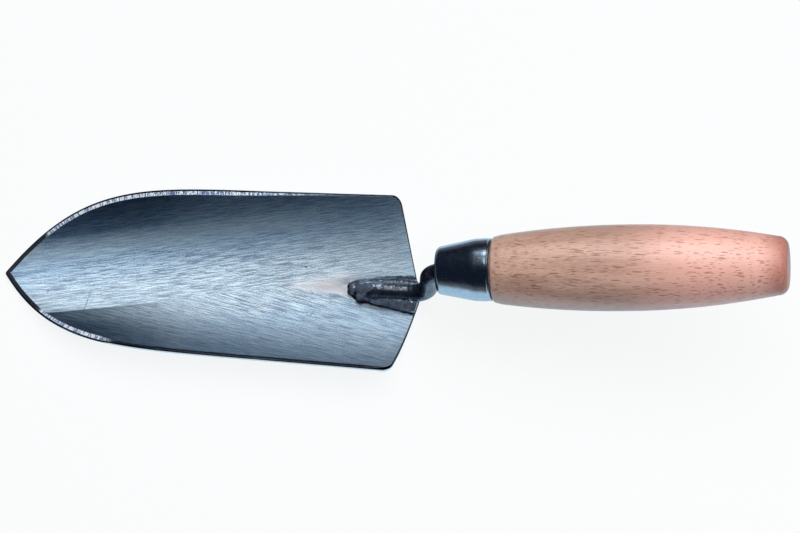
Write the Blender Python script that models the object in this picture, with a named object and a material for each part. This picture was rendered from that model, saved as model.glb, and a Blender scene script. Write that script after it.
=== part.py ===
"""Garden trowel with a rolled sheet blade, a welded swan-neck rod, a ferrule and a turned handle.

Metres, +Z up. The trowel lies on its back: +X runs from the point to the handle, the scoop opens upwards.
While the pieces are made, x = 0 is the middle of the blade's heel and z = 0 is the underside of the blade.
At the end the whole trowel is moved so that the origin is the middle of its box, at the ground.
"""
import math

import bmesh
import bpy
from mathutils import Vector

# Space between two pieces that touch
SEAT_GAP = 0.0003

# Blade: a flat blank, then rolled
BLADE_LENGTH = 0.1665
BLADE_HALF_WIDTH = 0.0420
BLADE_FLARE = math.radians(1.75)
POINT_LENGTH = 0.1008
POINT_FULLNESS = 4.1
POINT_ROUNDING = 0.0014
HEEL_SLOPE = math.radians(14.4)
HEEL_CORNER_CUT = 0.0042
SHEET = 0.002
TROUGH_RADIUS_AT_HEEL = 0.0562
TROUGH_RADIUS_AT_POINT = 0.0470

# Handle line: it rises from the heel towards the butt
HANDLE_RISE = math.radians(10.4)
HANDLE_LINE_HEIGHT = 0.0285

# Rod
ROD_RADIUS = 0.00375
FOOT_LENGTH = 0.0265
FOOT_NOSE_LENGTH = 0.008
FOOT_NOSE_RADIUS = 0.0014
LOWER_BEND_RADIUS = 0.0075
LEG_CLEARANCE = 0.0007
TANG_DEPTH = 0.062
TANG_TAPER_LENGTH = 0.045
TANG_POINT_RADIUS = 0.0013

# Weld metal round the foot
WELD_FRONT_MARGIN = 0.0030
WELD_HALF_WIDTH_FRONT = 0.0022
WELD_HALF_WIDTH_HEEL = 0.0080
WELD_HEIGHT_FRONT = 0.0016
WELD_HEIGHT_HEEL = 0.0036
WELD_FULLNESS = 0.62
WELD_SIDE_OFFSET = 0.0008
WELD_END_SETBACK = 0.0026

# Ferrule, measured along the handle line from the foot of that line
FERRULE_FRONT = 0.0058
FERRULE_LENGTH = 0.0219
FERRULE_TAPER_LENGTH = 0.0150
FERRULE_MOUTH_RADIUS = 0.0086
FERRULE_REAR_RADIUS = 0.0122
FERRULE_WALL = 0.0010
FERRULE_LIP_RADIUS = 0.0011
ROD_DROP_IN_MOUTH = 0.42
UPPER_BEND_IN_MOUTH = 0.92

# Handle
HANDLE_LENGTH = 0.1164
HANDLE_SHOULDER_RADIUS = 0.0132
HANDLE_BELLY_RADIUS = 0.0170
HANDLE_BELLY_PLACE = 0.46
HANDLE_BUTT_RADIUS = 0.0108
HANDLE_FRONT_FULLNESS = 2.1
HANDLE_REAR_FULLNESS = 2.0
SHOULDER_ROUNDING = 0.0016
BUTT_ROUNDING = 0.0042
NOSE_LENGTH = 0.0180

# Fineness of the round surfaces
ROUND_SIDES = 48
ROD_BEVEL_RESOLUTION = 6
BEND_STEPS = 8
BLANK_EDGE_STEPS = 34
BLANK_STRIPS = 25
BLANK_ROWS = 9
PROFILE_STEPS = 12
ROUNDING_STEPS = 4
WELD_STEPS = 10
WELD_SIDES = 28
CUTTER_SIDES = 160


def clear_scene():
    for old in list(bpy.data.objects):
        bpy.data.objects.remove(old, do_unlink=True)


def material(name, colour, roughness, metallic):
    finish = bpy.data.materials.new(name)
    finish.use_nodes = True
    shader = finish.node_tree.nodes["Principled BSDF"]
    shader.inputs["Base Color"].default_value = (*colour, 1.0)
    shader.inputs["Roughness"].default_value = roughness
    shader.inputs["Metallic"].default_value = metallic
    finish.diffuse_color = (*colour, 1.0)
    return finish


def add_object(name, data, parent, finish=None):
    piece = bpy.data.objects.new(name, data)
    bpy.context.scene.collection.objects.link(piece)
    piece.parent = parent
    if finish:
        data.materials.append(finish)
    return piece


def mesh_from(name, shape):
    mesh = bpy.data.meshes.new(name)
    shape.to_mesh(mesh)
    shape.free()
    return mesh


def shade_round(mesh, sharp_angle=math.radians(35)):
    mesh.shade_smooth()
    mesh.set_sharp_from_angle(angle=sharp_angle)


def add_boolean(piece, operation, cutter):
    cut = piece.modifiers.new(cutter.name, "BOOLEAN")
    cut.operation = operation
    cut.solver = "EXACT"
    cut.object = cutter


def make_cutter(name, data, parent):
    cutter = add_object(name, data, parent)
    cutter.hide_render = True
    cutter.display_type = "WIRE"
    return cutter


# Blade

def blank_half_width(from_point):
    """Half width of the flat blank at a distance from its point."""
    side = BLADE_HALF_WIDTH - math.tan(BLADE_FLARE) * (BLADE_LENGTH - from_point)
    if from_point >= POINT_LENGTH:
        return side
    return side * (1.0 - (1.0 - from_point / POINT_LENGTH) ** POINT_FULLNESS)


def heel_corner_place():
    """Distance from the point at which the side of the blank meets its sloping heel."""
    place = BLADE_LENGTH
    for _ in range(12):
        place = BLADE_LENGTH - math.tan(HEEL_SLOPE) * blank_half_width(place)
    return place


def blank_outline():
    """Points of one side of the flat blank, from the point to the middle of the heel, as (x, y)."""
    corner = heel_corner_place()
    side = []
    for step in range(1, BLANK_EDGE_STEPS + 1):
        place = corner * (step / BLANK_EDGE_STEPS) ** 1.5
        side.append((place - BLADE_LENGTH, blank_half_width(place)))
    return [(-BLADE_LENGTH, 0.0)] + side + [(0.0, 0.0)]


def trough_radius(x):
    """Inner radius of the trough, which opens a little from the point to the heel."""
    share = -x / BLADE_LENGTH
    return TROUGH_RADIUS_AT_HEEL + (TROUGH_RADIUS_AT_POINT - TROUGH_RADIUS_AT_HEEL) * share


def roll(flat):
    """Place on the rolled sheet of a place on the flat blank, at the middle of the sheet's thickness."""
    radius = trough_radius(flat.x) + SHEET / 2
    angle = flat.y / radius
    return Vector((flat.x, radius * math.sin(angle), SHEET / 2 + radius * (1.0 - math.cos(angle))))


def score(shape, start, stop, count, normal):
    """Cuts the blank's faces along evenly spaced lines, so that it can be rolled."""
    for step in range(1, count):
        place = start.lerp(stop, step / count)
        geometry = shape.verts[:] + shape.edges[:] + shape.faces[:]
        bmesh.ops.bisect_plane(shape, geom=geometry, dist=1e-6, plane_co=place, plane_no=normal)


def make_blade(parent, finish):
    shape = bmesh.new()
    near = blank_outline()
    far = [(x, -y) for x, y in reversed(near[1:-1])]
    corners = [shape.verts.new((x, y, 0.0)) for x, y in near + far]
    tip = corners[0]
    heel_corners = [corners[len(near) - 2], corners[len(near)]]
    shape.faces.new(corners)
    for vert, size in [(tip, POINT_ROUNDING)] + [(vert, HEEL_CORNER_CUT) for vert in heel_corners]:
        bmesh.ops.bevel(shape, geom=[vert], offset=size, offset_type="OFFSET", segments=4, profile=0.5,
                        affect="VERTICES", material=-1)
    half_width = Vector((0.0, BLADE_HALF_WIDTH, 0.0))
    score(shape, -half_width, half_width, BLANK_STRIPS, Vector((0.0, 1.0, 0.0)))
    length = Vector((-BLADE_LENGTH, 0.0, 0.0))
    score(shape, length, Vector(), BLANK_ROWS, Vector((1.0, 0.0, 0.0)))
    for vert in shape.verts:
        vert.co = roll(vert.co)
    bmesh.ops.recalc_face_normals(shape, faces=shape.faces[:])
    mesh = mesh_from("blade", shape)
    shade_round(mesh)
    blade = add_object("blade", mesh, parent, finish)
    thickness = blade.modifiers.new("sheet", "SOLIDIFY")
    thickness.thickness = SHEET
    thickness.offset = 0.0
    thickness.use_even_offset = True
    return blade


# Rod

def handle_direction():
    return Vector((math.cos(HANDLE_RISE), 0.0, math.sin(HANDLE_RISE)))


def handle_point(along):
    return Vector((0.0, 0.0, HANDLE_LINE_HEIGHT)) + handle_direction() * along


def rounded_corner(before, corner, after, radius):
    """Points of the arc that rounds a corner between two straight runs."""
    inwards = (corner - before).normalized()
    outwards = (after - corner).normalized()
    turn = inwards.angle(outwards)
    tangent = radius * math.tan(turn / 2)
    start = corner - inwards * tangent
    centre_way = (outwards - inwards * inwards.dot(outwards)).normalized()
    centre = start + centre_way * radius
    points = []
    for step in range(BEND_STEPS + 1):
        angle = turn * step / BEND_STEPS
        points.append(centre - centre_way * radius * math.cos(angle) + inwards * radius * math.sin(angle))
    return points


def rod_route():
    """Centre line of the rod and its radius at each point, from the nose of the foot to the tang's point.

    The leg stands just clear of the ferrule's lower lip, and the rod lies a little low in the ferrule's mouth.
    """
    foot_height = SHEET + SEAT_GAP + ROD_RADIUS
    nose_height = SHEET + SEAT_GAP + FOOT_NOSE_RADIUS
    foot = Vector((-FOOT_LENGTH + FOOT_NOSE_LENGTH, 0.0, foot_height))
    mouth_bore = FERRULE_MOUTH_RADIUS - FERRULE_WALL
    downwards = Vector((math.sin(HANDLE_RISE), 0.0, -math.cos(HANDLE_RISE)))
    drop = downwards * (mouth_bore - ROD_RADIUS) * ROD_DROP_IN_MOUTH
    entry_line = handle_point(0.0) + drop
    lower_lip = handle_point(FERRULE_FRONT) + downwards * FERRULE_MOUTH_RADIUS
    leg = lower_lip.x - ROD_RADIUS - LEG_CLEARANCE
    lower = Vector((leg, 0.0, foot_height))
    upper = Vector((leg, 0.0, entry_line.z + (leg - entry_line.x) * math.tan(HANDLE_RISE)))
    tang_end = handle_point(FERRULE_FRONT + TANG_DEPTH) + drop
    taper_start = tang_end - handle_direction() * TANG_TAPER_LENGTH
    route = [(Vector((-FOOT_LENGTH, 0.0, nose_height)), FOOT_NOSE_RADIUS), (foot, ROD_RADIUS)]
    bends = rounded_corner(foot, lower, upper, LOWER_BEND_RADIUS)
    bends += rounded_corner(lower, upper, tang_end, mouth_bore * UPPER_BEND_IN_MOUTH)
    route += [(point, ROD_RADIUS) for point in bends]
    route += [(taper_start, ROD_RADIUS), (tang_end, TANG_POINT_RADIUS)]
    return route


def round_bar(name, route, margin=0.0):
    """Mesh of a round bar along a route of (point, radius), with filled ends."""
    curve = bpy.data.curves.new(name, "CURVE")
    curve.dimensions = "3D"
    curve.bevel_depth = 1.0
    curve.bevel_resolution = ROD_BEVEL_RESOLUTION
    curve.use_fill_caps = True
    spline = curve.splines.new("POLY")
    spline.points.add(len(route) - 1)
    for knot, (point, radius) in zip(spline.points, route):
        knot.co = (*point, 1.0)
        knot.radius = radius + margin
    drawn = add_object(name, curve, None)
    mesh = bpy.data.meshes.new_from_object(drawn)
    bpy.data.objects.remove(drawn, do_unlink=True)
    shade_round(mesh)
    return mesh


def extended_route(route, length):
    """The same route with both ends carried on, so that what is cut by it is open past its ends."""
    first = route[0][0] + (route[0][0] - route[1][0]).normalized() * length
    last = route[-1][0] + (route[-1][0] - route[-2][0]).normalized() * length
    return [(first, route[0][1])] + route[1:-1] + [(last, route[-1][1])]


def make_rod(parent, finish):
    route = rod_route()
    rod = add_object("tang", round_bar("tang", route), parent, finish)
    clearance = round_bar("tang_clearance", extended_route(route, SEAT_GAP), SEAT_GAP)
    return rod, make_cutter("tang_clearance", clearance, parent)


# Weld metal

def weld_section(share):
    """Ring of points round the weld at a share of its length; its lower half lies inside the sheet."""
    front = -FOOT_LENGTH - WELD_FRONT_MARGIN
    x = front + (-WELD_END_SETBACK - front) * share
    half_width = WELD_HALF_WIDTH_FRONT + (WELD_HALF_WIDTH_HEEL - WELD_HALF_WIDTH_FRONT) * share ** WELD_FULLNESS
    height = WELD_HEIGHT_FRONT + (WELD_HEIGHT_HEEL - WELD_HEIGHT_FRONT) * share ** WELD_FULLNESS
    ring = []
    for side in range(WELD_SIDES):
        angle = math.tau * side / WELD_SIDES
        across = math.copysign(abs(math.cos(angle)) ** WELD_FULLNESS, math.cos(angle))
        up = math.copysign(abs(math.sin(angle)) ** WELD_FULLNESS, math.sin(angle))
        ring.append(Vector((x, WELD_SIDE_OFFSET + half_width * across, SHEET + height * up)))
    return ring


def make_weld(parent, finish, rod_clearance):
    shape = bmesh.new()
    rings = []
    for step in range(WELD_STEPS):
        corners = [shape.verts.new(point) for point in weld_section(step / (WELD_STEPS - 1))]
        rings.append([shape.edges.new(pair) for pair in zip(corners, corners[1:] + corners[:1])])
    for ring, following in zip(rings, rings[1:]):
        bmesh.ops.bridge_loops(shape, edges=ring + following)
    bmesh.ops.holes_fill(shape, edges=rings[0] + rings[-1], sides=WELD_SIDES)
    bmesh.ops.recalc_face_normals(shape, faces=shape.faces[:])
    mesh = mesh_from("weld_bead", shape)
    shade_round(mesh)
    weld = add_object("weld_bead", mesh, parent, finish)
    trough = trough_radius(-FOOT_LENGTH / 2)
    hollow = bmesh.new()
    bmesh.ops.create_cone(hollow, cap_ends=True, segments=CUTTER_SIDES, radius1=trough - SEAT_GAP,
                          radius2=trough - SEAT_GAP, depth=BLADE_LENGTH)
    inside = make_cutter("inside_of_trough", mesh_from("inside_of_trough", hollow), parent)
    inside.rotation_euler = (0.0, math.pi / 2, 0.0)
    inside.location = (0.0, 0.0, SHEET + trough)
    add_boolean(weld, "INTERSECT", inside)
    add_boolean(weld, "DIFFERENCE", rod_clearance)
    return weld


# Turned pieces

def turned(name, profile, closed):
    """A mesh turned round its z axis from a profile of (radius, height) points."""
    shape = bmesh.new()
    verts = [shape.verts.new((radius, 0.0, height)) for radius, height in profile]
    pairs = list(zip(verts, verts[1:]))
    if closed:
        pairs.append((verts[-1], verts[0]))
    edges = [shape.edges.new(pair) for pair in pairs]
    bmesh.ops.spin(shape, geom=verts + edges, axis=(0.0, 0.0, 1.0), cent=(0.0, 0.0, 0.0), steps=ROUND_SIDES,
                   angle=math.tau, use_merge=True)
    bmesh.ops.remove_doubles(shape, verts=shape.verts[:], dist=1e-6)
    bmesh.ops.dissolve_degenerate(shape, edges=shape.edges[:], dist=1e-7)
    bmesh.ops.recalc_face_normals(shape, faces=shape.faces[:])
    mesh = mesh_from(name, shape)
    shade_round(mesh)
    return mesh


def lay_on_handle_line(piece):
    """Turns a piece that was made along z so that it lies on the handle line."""
    piece.rotation_euler = (0.0, math.pi / 2 - HANDLE_RISE, 0.0)
    piece.location = handle_point(0.0)


def arc(centre_radius, centre_height, radius, start, stop):
    """Points of a rounding on a profile, by angles from the outward radius."""
    points = []
    for step in range(ROUNDING_STEPS + 1):
        angle = start + (stop - start) * step / ROUNDING_STEPS
        points.append((centre_radius + radius * math.cos(angle), centre_height + radius * math.sin(angle)))
    return points


def ferrule_bore(along):
    """Inner radius of the ferrule at a distance along the handle line."""
    share = min(max((along - FERRULE_FRONT) / FERRULE_TAPER_LENGTH, 0.0), 1.0)
    return FERRULE_MOUTH_RADIUS + (FERRULE_REAR_RADIUS - FERRULE_MOUTH_RADIUS) * share - FERRULE_WALL


def make_ferrule(parent, finish):
    taper_end = FERRULE_FRONT + FERRULE_TAPER_LENGTH
    rear = FERRULE_FRONT + FERRULE_LENGTH
    profile = arc(FERRULE_MOUTH_RADIUS - FERRULE_LIP_RADIUS, FERRULE_FRONT + FERRULE_LIP_RADIUS,
                  FERRULE_LIP_RADIUS, -math.pi / 2, 0.0)
    profile += [(FERRULE_REAR_RADIUS, taper_end), (FERRULE_REAR_RADIUS, rear)]
    profile += [(ferrule_bore(rear), rear), (ferrule_bore(taper_end), taper_end)]
    lip_end = FERRULE_FRONT + FERRULE_LIP_RADIUS
    profile += [(ferrule_bore(lip_end), lip_end)]
    ferrule = add_object("ferrule", turned("ferrule", profile, closed=True), parent, finish)
    lay_on_handle_line(ferrule)
    return ferrule


def handle_radius(share):
    """Radius of the barrel at a share of its length, from the shoulder to the butt."""
    if share < HANDLE_BELLY_PLACE:
        away = (HANDLE_BELLY_PLACE - share) / HANDLE_BELLY_PLACE
        return HANDLE_BELLY_RADIUS - (HANDLE_BELLY_RADIUS - HANDLE_SHOULDER_RADIUS) * away ** HANDLE_FRONT_FULLNESS
    away = (share - HANDLE_BELLY_PLACE) / (1.0 - HANDLE_BELLY_PLACE)
    return HANDLE_BELLY_RADIUS - (HANDLE_BELLY_RADIUS - HANDLE_BUTT_RADIUS) * away ** HANDLE_REAR_FULLNESS


def handle_profile():
    """From the middle of the nose out over the shoulder, along the barrel and in to the middle of the butt."""
    shoulder = FERRULE_FRONT + FERRULE_LENGTH + SEAT_GAP
    butt = shoulder + HANDLE_LENGTH
    nose = shoulder - NOSE_LENGTH
    bend = FERRULE_FRONT + FERRULE_TAPER_LENGTH
    profile = [(0.0, nose), (ferrule_bore(nose) - SEAT_GAP, nose)]
    profile += [(ferrule_bore(bend) - SEAT_GAP, bend), (ferrule_bore(shoulder) - SEAT_GAP, shoulder)]
    profile += arc(HANDLE_SHOULDER_RADIUS - SHOULDER_ROUNDING, shoulder + SHOULDER_ROUNDING, SHOULDER_ROUNDING,
                   -math.pi / 2, 0.0)
    for step in range(1, PROFILE_STEPS):
        share = step / PROFILE_STEPS
        profile.append((handle_radius(share), shoulder + HANDLE_LENGTH * share))
    rounding_start = handle_radius(1.0 - BUTT_ROUNDING / HANDLE_LENGTH)
    profile += arc(rounding_start - BUTT_ROUNDING, butt - BUTT_ROUNDING, BUTT_ROUNDING, 0.0, math.pi / 2)
    profile.append((0.0, butt))
    return profile


def make_handle(parent, finish, rod_clearance):
    handle = add_object("handle", turned("handle", handle_profile(), closed=False), parent, finish)
    lay_on_handle_line(handle)
    add_boolean(handle, "DIFFERENCE", rod_clearance)
    return handle


def stand_on_ground(frame, pieces):
    """Moves the whole trowel so that the origin is the middle of its box, at the ground."""
    bpy.context.view_layer.update()
    depsgraph = bpy.context.evaluated_depsgraph_get()
    corners = []
    for piece in pieces:
        evaluated = piece.evaluated_get(depsgraph)
        mesh = evaluated.to_mesh()
        corners += [evaluated.matrix_world @ vert.co for vert in mesh.vertices]
        evaluated.to_mesh_clear()
    low = [min(corner[axis] for corner in corners) for axis in range(3)]
    high = [max(corner[axis] for corner in corners) for axis in range(3)]
    frame.location = (-(low[0] + high[0]) / 2, -(low[1] + high[1]) / 2, -low[2])
    bpy.context.view_layer.update()


clear_scene()
trowel = add_object("trowel", None, None)
ground_steel = material("ground_steel", (0.55, 0.60, 0.66), 0.32, 1.0)
dark_steel = material("dark_steel", (0.07, 0.08, 0.11), 0.35, 0.9)
weld_metal = material("weld_metal", (0.05, 0.06, 0.08), 0.5, 0.9)
plated_steel = material("plated_steel", (0.62, 0.66, 0.70), 0.15, 1.0)
beech = material("beech", (0.72, 0.50, 0.36), 0.38, 0.0)

blade_piece = make_blade(trowel, ground_steel)
rod_piece, clearance_cutter = make_rod(trowel, dark_steel)
weld_piece = make_weld(trowel, weld_metal, clearance_cutter)
ferrule_piece = make_ferrule(trowel, plated_steel)
handle_piece = make_handle(trowel, beech, clearance_cutter)
stand_on_ground(trowel, [blade_piece, rod_piece, weld_piece, ferrule_piece, handle_piece])
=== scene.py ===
"""Garden trowel lying on its back on a white table: the looks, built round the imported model.

Metres, +Z up. +X runs from the point of the blade to the butt of the handle, and the scoop opens upwards.
"""

import math

import bmesh
import bpy
from mathutils import Matrix, Vector
from mathutils.noise import fractal, noise


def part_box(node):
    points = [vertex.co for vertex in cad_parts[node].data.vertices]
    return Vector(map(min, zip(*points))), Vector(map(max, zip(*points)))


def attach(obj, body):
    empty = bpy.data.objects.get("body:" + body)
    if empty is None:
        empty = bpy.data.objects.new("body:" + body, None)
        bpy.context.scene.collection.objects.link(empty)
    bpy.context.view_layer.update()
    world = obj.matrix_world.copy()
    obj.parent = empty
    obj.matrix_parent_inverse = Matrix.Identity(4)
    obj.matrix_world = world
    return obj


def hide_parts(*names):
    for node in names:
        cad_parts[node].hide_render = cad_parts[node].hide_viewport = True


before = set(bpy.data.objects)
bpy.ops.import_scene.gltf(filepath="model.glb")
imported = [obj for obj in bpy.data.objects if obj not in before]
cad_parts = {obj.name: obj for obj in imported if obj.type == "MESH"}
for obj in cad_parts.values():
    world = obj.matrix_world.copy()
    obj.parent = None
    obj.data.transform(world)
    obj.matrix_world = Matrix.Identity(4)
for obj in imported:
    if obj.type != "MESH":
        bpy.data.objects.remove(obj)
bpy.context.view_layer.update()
scene = bpy.context.scene

# Blade
# One sheet of steel, 2 mm thick, cut to a pointed blank and rolled to a trough.
# Its inside is ground along the blade in two passes that meet in a crease, and its
# front edges are sharpened by a bevel that is ground across.

SHEET = 0.002
BLADE_LENGTH = 0.1665
BLADE_HALF_WIDTH = 0.0420
BLADE_FLARE = math.radians(1.75)
POINT_LENGTH = 0.1008
POINT_FULLNESS = 4.1
POINT_ROUNDING = 0.0012
HEEL_SLOPE = math.radians(14.4)
HEEL_CORNER_CUT = 0.0042
CORNER_STEPS = 6
TROUGH_RADIUS_AT_HEEL = 0.0562
TROUGH_RADIUS_AT_POINT = 0.0470
OUTLINE_STEPS = 72
OUTLINE_CROWDING = 1.4
RIM_ROUNDING = 0.00035
RIM_DROP = 0.7
BEVEL_WIDTH = 0.0015
BEVEL_FACES = math.radians(4.5)
OUTER_ROLL = 0.0008
OUTER_ROLL_AT_MIDDLE = 0.00012
BEVEL_FADE_FAR = (-0.085, -0.030)
BEVEL_FADE_NEAR = (-0.128, -0.116)
BEVEL_LEAST_FAR = 0.05
BEVEL_LEAST_NEAR = 0.35
BEVEL_END_NEAR = (-0.022, -0.0125)
GRID_ACROSS = 42
GRID_ALONG = 84
RING_STEP = 0.001
BACK_PLACE = 1.0
WALL_END = 0.55
INSIDE, BEVEL, EDGE = range(3)

CREASE_FOOT = Vector((-0.0549, 0.0011))
UPPER_STROKES = math.radians(11.7)
LOWER_STROKES = math.radians(-14.0)
CREASE_DEPTH = 0.00055
CREASE_WIDTH = 0.0042
CREASE_LEFT_END = -0.147
CREASE_RIGHT_END = -0.078

heel = Vector((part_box("blade")[1][0], 0.0, 0.0))


def blank_half_width(from_point):
    """Half width of the flat blank at a distance from its point."""
    side = BLADE_HALF_WIDTH - math.tan(BLADE_FLARE) * (BLADE_LENGTH - from_point)
    if from_point >= POINT_LENGTH:
        return side
    return side * (1.0 - (1.0 - from_point / POINT_LENGTH) ** POINT_FULLNESS)


def blank_outline():
    """Points of one side of the flat blank, from its point to the middle of the heel."""
    corner = BLADE_LENGTH
    for _ in range(12):
        corner = BLADE_LENGTH - math.tan(HEEL_SLOPE) * blank_half_width(corner)
    side = []
    for step in range(1, OUTLINE_STEPS + 1):
        place = corner * (step / OUTLINE_STEPS) ** OUTLINE_CROWDING
        side.append((place - BLADE_LENGTH, blank_half_width(place)))
    return [(-BLADE_LENGTH, 0.0)] + side + [(0.0, 0.0)]


def trough_radius(x):
    """Inner radius of the trough, which opens a little from the point to the heel."""
    share = -x / BLADE_LENGTH
    return TROUGH_RADIUS_AT_HEEL + (TROUGH_RADIUS_AT_POINT - TROUGH_RADIUS_AT_HEEL) * share


def rolled(x, y, lift):
    """Place on the rolled blade of a place on the flat blank, lifted from mid-sheet towards the inside."""
    middle = trough_radius(x) + SHEET / 2
    angle = y / middle
    radius = middle - lift
    return heel + Vector((x, radius * math.sin(angle), SHEET / 2 + middle - radius * math.cos(angle)))


def smooth_share(value, start, stop):
    """0 before start, 1 after stop, and an even curve between."""
    share = min(max((value - start) / (stop - start), 0.0), 1.0)
    return share * share * (3.0 - 2.0 * share)


def above_crease(x, y):
    """Distance of a place on the blank above the crease between the two grinding passes."""
    return (y - CREASE_FOOT.y) * math.cos(UPPER_STROKES) - (x - CREASE_FOOT.x) * math.sin(UPPER_STROKES)


def crease_hollow(x, y):
    """How far the two passes have cut into the inside, next to the crease."""
    strength = 1.0 - smooth_share(x, CREASE_LEFT_END, CREASE_RIGHT_END)
    return CREASE_DEPTH * strength * math.exp(-abs(above_crease(x, y)) / CREASE_WIDTH)


def bevel_drop(x, y):
    """Depth of the sharpened bevel, which is ground almost level all along the edge."""
    lean = y / trough_radius(x)
    place = x + BLADE_LENGTH
    widening = (blank_half_width(place + BEVEL_WIDTH) - blank_half_width(place)) / BEVEL_WIDTH
    tilt = (lean - BEVEL_FACES if y > 0.0 else BEVEL_FACES - lean) / math.hypot(1.0, widening)
    return BEVEL_WIDTH * math.tan(max(tilt, BEVEL_FACES))


def bevel_strength(x, y):
    """Share of the sharpened bevel's full size; it runs out sooner on the near side of the blade."""
    fade_start, fade_end = BEVEL_FADE_FAR if y > 0.0 else BEVEL_FADE_NEAR
    least = BEVEL_LEAST_FAR
    if y < 0.0:
        least += (BEVEL_LEAST_NEAR - BEVEL_LEAST_FAR) * (1.0 - smooth_share(x, *BEVEL_END_NEAR))
    return 1.0 - (1.0 - least) * smooth_share(x, fade_start, fade_end)


blank = bmesh.new()
near = blank_outline()
far = [(x, -y) for x, y in reversed(near[1:-1])]
corners = [blank.verts.new((x, y, 0.0)) for x, y in near + far]
blank.faces.new(corners)
for vert, size in ((corners[0], POINT_ROUNDING), (corners[OUTLINE_STEPS], HEEL_CORNER_CUT),
                   (corners[OUTLINE_STEPS + 2], HEEL_CORNER_CUT)):
    bmesh.ops.bevel(blank, geom=[vert], offset=size, offset_type="OFFSET", segments=CORNER_STEPS,
                    profile=0.5, affect="VERTICES", material=-1)
travelled = blank.verts.layers.float.new("travelled")
blank.faces.ensure_lookup_table()
blank_face = blank.faces[0]
lengths = [(loop.vert, loop.edge.calc_length()) for loop in blank_face.loops]
point_place = min(range(len(lengths)), key=lambda place: lengths[place][0].co.x)
lengths = lengths[point_place:] + lengths[:point_place]
girth = sum(length for vert, length in lengths)
walked = 0.0
for vert, length in lengths:
    vert[travelled] = min(walked, girth - walked)
    walked += length
for width in (RIM_ROUNDING, BEVEL_WIDTH):
    bmesh.ops.inset_region(blank, faces=[blank_face], thickness=width, use_boundary=True,
                           use_even_offset=True)
outer_ring = {vert for vert in blank.verts if vert.is_boundary}
inner_ring = set(blank_face.verts)
middle_ring = set(blank.verts) - outer_ring - inner_ring


def neighbour_in(vert, ring):
    """The vertex of another ring that a vertex is joined to."""
    return next(edge.other_vert(vert) for edge in vert.link_edges if edge.other_vert(vert) in ring)


for vert in middle_ring:
    vert[travelled] = neighbour_in(vert, inner_ring)[travelled]
for vert in outer_ring:
    vert[travelled] = neighbour_in(vert, middle_ring)[travelled]
for vert in inner_ring:
    partner = neighbour_in(vert, middle_ring)
    vert.co = partner.co.lerp(vert.co, bevel_strength(vert.co.x, vert.co.y))
for vert in middle_ring:
    vert.co.z = RING_STEP
for vert in inner_ring:
    vert.co.z = 2 * RING_STEP


def of_kind(items, kind):
    """The items that are of one kind."""
    return [item for item in items if isinstance(item, kind)]


def score(shape, place, normal):
    """Cuts the blank along one line, so that it can be rolled and ground."""
    geometry = shape.verts[:] + shape.edges[:] + shape.faces[:]
    bmesh.ops.bisect_plane(shape, geom=geometry, dist=1e-7, plane_co=place, plane_no=normal)


crease_normal = Vector((-math.sin(UPPER_STROKES), math.cos(UPPER_STROKES), 0.0))
score(blank, Vector((CREASE_FOOT.x, CREASE_FOOT.y, 0.0)), crease_normal)
for step in range(1, GRID_ACROSS):
    across = BLADE_HALF_WIDTH * (2.0 * step / GRID_ACROSS - 1.0)
    score(blank, Vector((0.0, across, 0.0)), Vector((0.0, 1.0, 0.0)))
for step in range(1, GRID_ALONG):
    score(blank, Vector((-BLADE_LENGTH * step / GRID_ALONG, 0.0, 0.0)), Vector((1.0, 0.0, 0.0)))

on_blank = blank.loops.layers.uv.new("blank")
on_edge = blank.loops.layers.uv.new("edge")
for face in blank.faces:
    ring_height = face.calc_center_median().z / RING_STEP
    face.material_index = INSIDE if ring_height > 1.99 else BEVEL if ring_height > 1.0 else EDGE
    for loop in face.loops:
        rise = 0.0 if face.material_index == EDGE else loop.vert.co.z / RING_STEP
        loop[on_blank].uv = loop.vert.co.xy
        loop[on_edge].uv = (loop.vert[travelled], rise)
inside = bmesh.ops.extrude_face_region(blank, geom=blank.faces[:], use_keep_orig=True)
inside_verts = set(of_kind(inside["geom"], bmesh.types.BMVert))
inside_faces = set(of_kind(inside["geom"], bmesh.types.BMFace))
lower_ring = {vert for vert in blank.verts if vert not in inside_verts and vert.co.z > 0.9 * RING_STEP}
crease_verts = set()
for vert in blank.verts:
    x, y, ring = vert.co.x, vert.co.y, vert.co.z / RING_STEP
    past_rim = min(ring, 1.0)
    past_bevel = max(ring - 1.0, 0.0)
    if vert in inside_verts:
        drop = bevel_drop(x, y) * bevel_strength(x, y) * (1.0 - past_bevel)
        lift = SHEET / 2 - drop - RIM_ROUNDING * RIM_DROP * (1.0 - past_rim)
        lift -= crease_hollow(x, y) * past_bevel
        if abs(above_crease(x, y)) < 1e-6 and x < CREASE_RIGHT_END and past_bevel > 0.5:
            crease_verts.add(vert)
    else:
        lift = -SHEET / 2 + OUTER_ROLL_AT_MIDDLE * (1.0 - past_bevel)
        lift += (OUTER_ROLL - OUTER_ROLL_AT_MIDDLE) * (1.0 - past_rim)
    vert.co = rolled(x, y, lift)
for face in blank.faces:
    face.smooth = True
    if face not in inside_faces:
        wall = len({vert in inside_verts for vert in face.verts}) == 2
        rolled_over = not wall and face.material_index == EDGE
        face.material_index = EDGE if wall or rolled_over else INSIDE
        for loop in face.loops:
            loop[on_blank].uv += Vector((0.0, 0.0 if wall else BACK_PLACE))
            if wall:
                loop[on_edge].uv.y = 0.0 if loop.vert in inside_verts else WALL_END
            if rolled_over:
                loop[on_edge].uv.y = WALL_END if loop.vert in lower_ring else 1.0
for edge in blank.edges:
    ends = set(edge.verts)
    kinds = {face.material_index for face in edge.link_faces}
    if ends <= inside_verts and len(kinds) == 2 or ends <= crease_verts:
        edge.smooth = False
bmesh.ops.recalc_face_normals(blank, faces=blank.faces[:])


def finished_mesh(name, shape):
    """A mesh made of a shape, which is used up."""
    mesh = bpy.data.meshes.new(name)
    shape.to_mesh(mesh)
    shape.free()
    return mesh


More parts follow.
